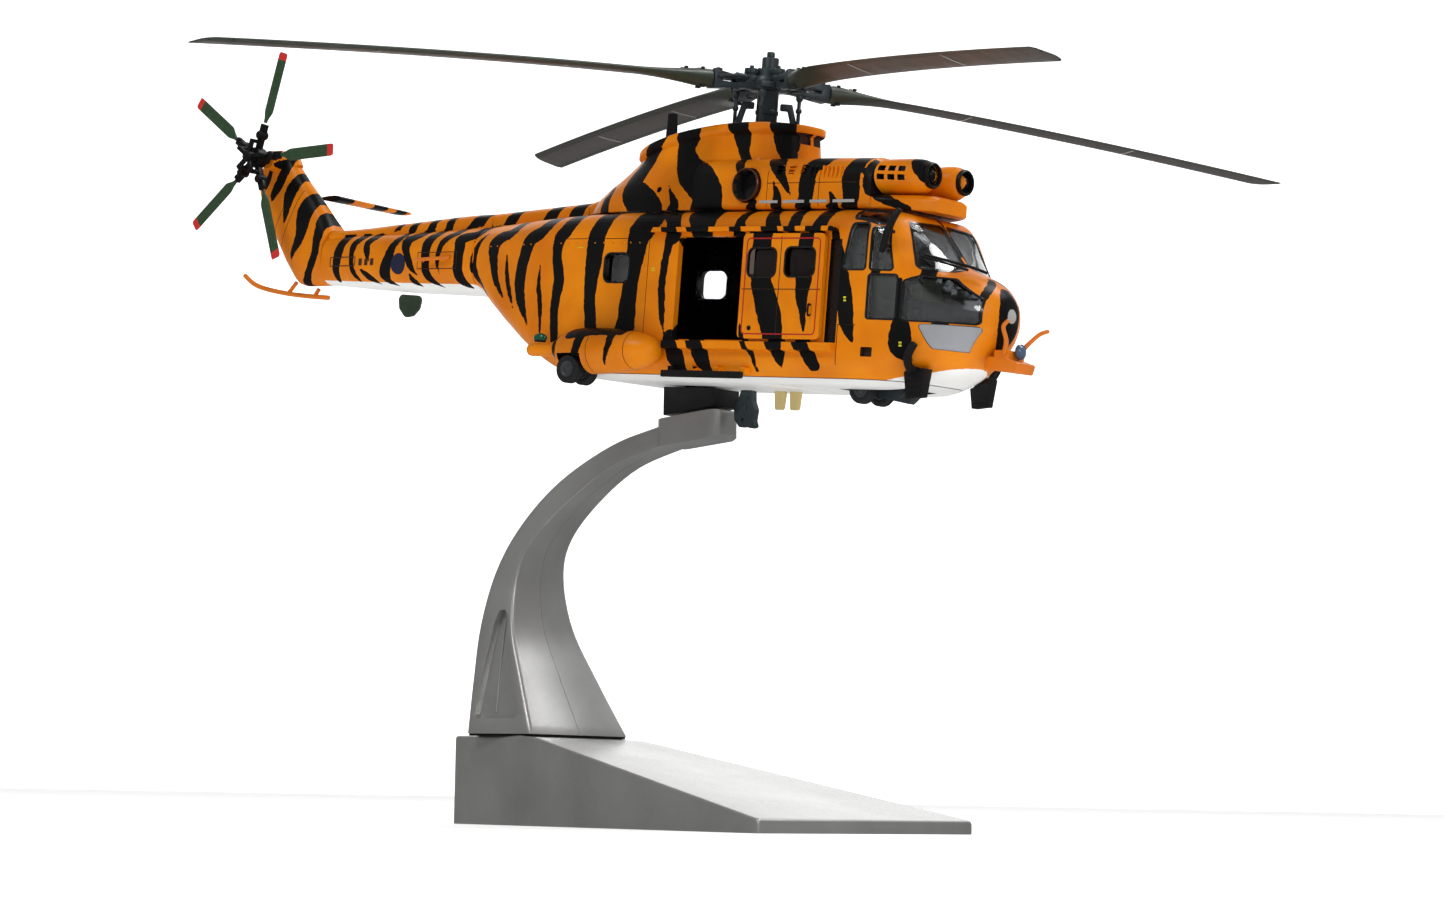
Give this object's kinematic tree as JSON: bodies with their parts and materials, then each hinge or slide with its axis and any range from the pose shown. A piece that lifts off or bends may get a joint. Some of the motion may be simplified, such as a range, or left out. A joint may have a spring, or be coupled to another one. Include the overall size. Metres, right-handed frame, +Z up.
{
  "type": "helicopter scale model",
  "caption": "Display model of a twin-engine transport helicopter in tiger stripes, with turning rotors and sliding cabin doors, on a curved silver stand.",
  "frame": {"origin": "middle of the stand base's underside", "axes": "+X towards the helicopter's nose and the stand's thin front edge, +Y to the helicopter's port side, +Z up; the helicopter noses down 4.2 degrees about Y"},
  "size_m": [0.2322, 0.1868, 0.1482],
  "materials": {
    "orange_paint": "gloss tiger-striped enamel",
    "white_paint": "gloss",
    "orange_plastic": "gloss tiger-striped enamel",
    "silver_paint": "metallic satin",
    "black_plastic": "satin",
    "blade_green": "satin",
    "rotor_grey": "satin",
    "cream_plastic": "satin",
    "tyre_black": "matte",
    "clear_pane": "clear",
    "bronze_paint": "satin metallic",
    "lens_green": "gloss",
    "lens_red": "gloss",
    "crew_olive": "matte",
    "lamp_blue": "gloss"
  },
  "bodies": {
    "stand": {"stand_base": "silver_paint", "stand_arm": "silver_paint", "stand_pad": "black_plastic"},
    "airframe": {"fuselage_shell": "orange_paint", "tail_boom": "orange_paint", "tail_pylon": "orange_paint", "stabilizer": "orange_paint", "tail_skid": "orange_paint", "engine_cowling": "orange_plastic", "nacelle_starboard": "orange_plastic", "nacelle_port": "orange_plastic", "sponson_starboard": "orange_plastic", "sponson_port": "orange_plastic", "nose_probes": "orange_plastic", "belly_pan": "white_paint", "cabin_tub": "black_plastic", "intake_ring_starboard": "black_plastic", "intake_ring_port": "black_plastic", "step_bar_starboard": "black_plastic", "step_bar_port": "black_plastic", "boarding_step_starboard": "black_plastic", "boarding_step_port": "black_plastic", "cockpit_duct": "black_plastic", "wiper": "black_plastic", "cowl_aerial": "black_plastic", "cockpit_glazing": "clear_pane", "aft_window_starboard": "clear_pane", "aft_window_port": "clear_pane", "exhaust_starboard": "bronze_paint", "exhaust_port": "bronze_paint", "nav_light_starboard": "lens_green", "nav_light_port": "lens_red", "crew_starboard": "crew_olive", "crew_port": "crew_olive", "nose_lamp": "lamp_blue", "nose_strut": "rotor_grey", "cargo_hook": "rotor_grey", "boom_aerial": "blade_green", "belly_aerial_rear": "cream_plastic", "belly_aerial_front": "cream_plastic"},
    "main_rotor": {"rotor_hub": "rotor_grey", "rotor_blade_1": "blade_green", "rotor_blade_2": "blade_green", "rotor_blade_3": "blade_green", "rotor_blade_4": "blade_green", "swashplate": "rotor_grey"},
    "tail_rotor": {"tail_hub": "black_plastic", "tail_blade_1": "blade_green", "tail_blade_2": "blade_green", "tail_blade_3": "blade_green", "tail_blade_4": "blade_green", "tail_blade_5": "blade_green"},
    "starboard_door": {"door_starboard": "orange_plastic", "door_panes_starboard": "clear_pane"},
    "port_door": {"door_port": "orange_plastic", "door_panes_port": "clear_pane"},
    "nose_wheel_pair": {"nose_wheels": "tyre_black"},
    "starboard_wheel_pair": {"main_wheels_starboard": "tyre_black"},
    "port_wheel_pair": {"main_wheels_port": "tyre_black"}
  },
  "joints": [
    {"name": "lift_off_stand", "type": "slide", "parent": "stand", "child": "airframe", "axis": [0, 0, 1], "range_m": [0, 0.03]},
    {"name": "main_rotor_spin", "type": "hinge", "parent": "airframe", "child": "main_rotor", "pos_m": [0.01958, 0, 0.13043], "axis": [0.0732, 0, 0.9973], "continuous": true},
    {"name": "tail_rotor_spin", "type": "hinge", "parent": "airframe", "child": "tail_rotor", "pos_m": [-0.10243, -0.0075, 0.12796], "axis": [0, 1, 0], "continuous": true},
    {"name": "starboard_door_slide", "type": "slide", "parent": "airframe", "child": "starboard_door", "axis": [0.9973, 0, -0.0732], "range_m": [-0.0155, 0]},
    {"name": "port_door_slide", "type": "slide", "parent": "airframe", "child": "port_door", "axis": [0.9973, 0, -0.0732], "range_m": [-0.0155, 0]},
    {"name": "nose_wheel_spin", "type": "hinge", "parent": "airframe", "child": "nose_wheel_pair", "pos_m": [0.04361, 0, 0.07532], "axis": [0, 1, 0], "continuous": true},
    {"name": "starboard_wheel_spin", "type": "hinge", "parent": "airframe", "child": "starboard_wheel_pair", "pos_m": [-0.00948, -0.0164, 0.08022], "axis": [0, 1, 0], "continuous": true},
    {"name": "port_wheel_spin", "type": "hinge", "parent": "airframe", "child": "port_wheel_pair", "pos_m": [-0.00948, 0.0164, 0.08022], "axis": [0, 1, 0], "continuous": true}
  ]
}
